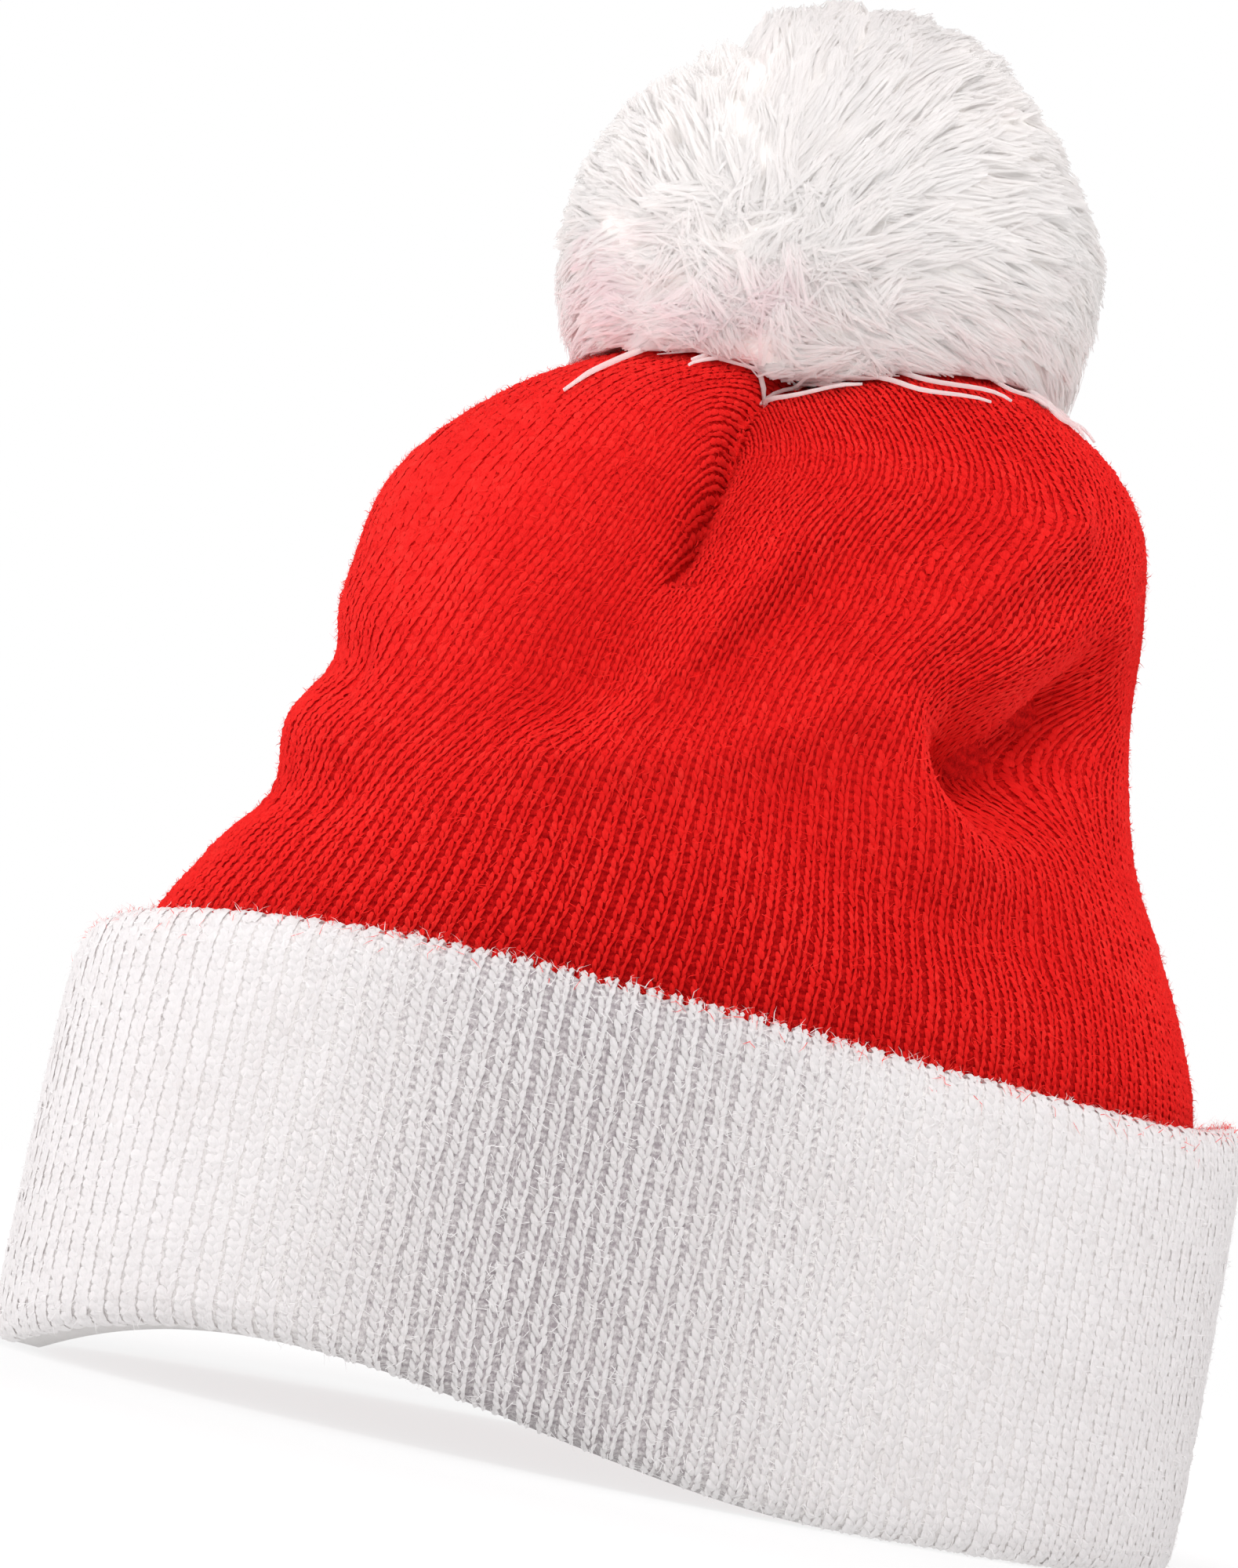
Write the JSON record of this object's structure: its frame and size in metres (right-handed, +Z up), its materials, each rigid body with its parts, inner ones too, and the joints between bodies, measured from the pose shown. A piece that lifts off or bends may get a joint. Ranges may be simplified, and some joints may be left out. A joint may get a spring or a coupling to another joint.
{
  "type": "knitted pompom hat",
  "caption": "Knitted winter hat with a darted red crown, a turned-up white ribbed cuff and a white yarn pompom, hollow below for a head.",
  "frame": {"origin": "centre of the bounding box at its base, on the plane that the rim stands on", "axes": "+Z up towards the pompom, -Y towards the hat's front, +X towards the side with the dent"},
  "size_m": [0.199, 0.1554, 0.2544],
  "materials": {
    "crown": "matte red knit",
    "cuff": "matte white knit",
    "pompom": "matte white yarn"
  },
  "bodies": {
    "root": {"crown": "crown", "cuff": "cuff", "pompom": "pompom"}
  },
  "joints": []
}
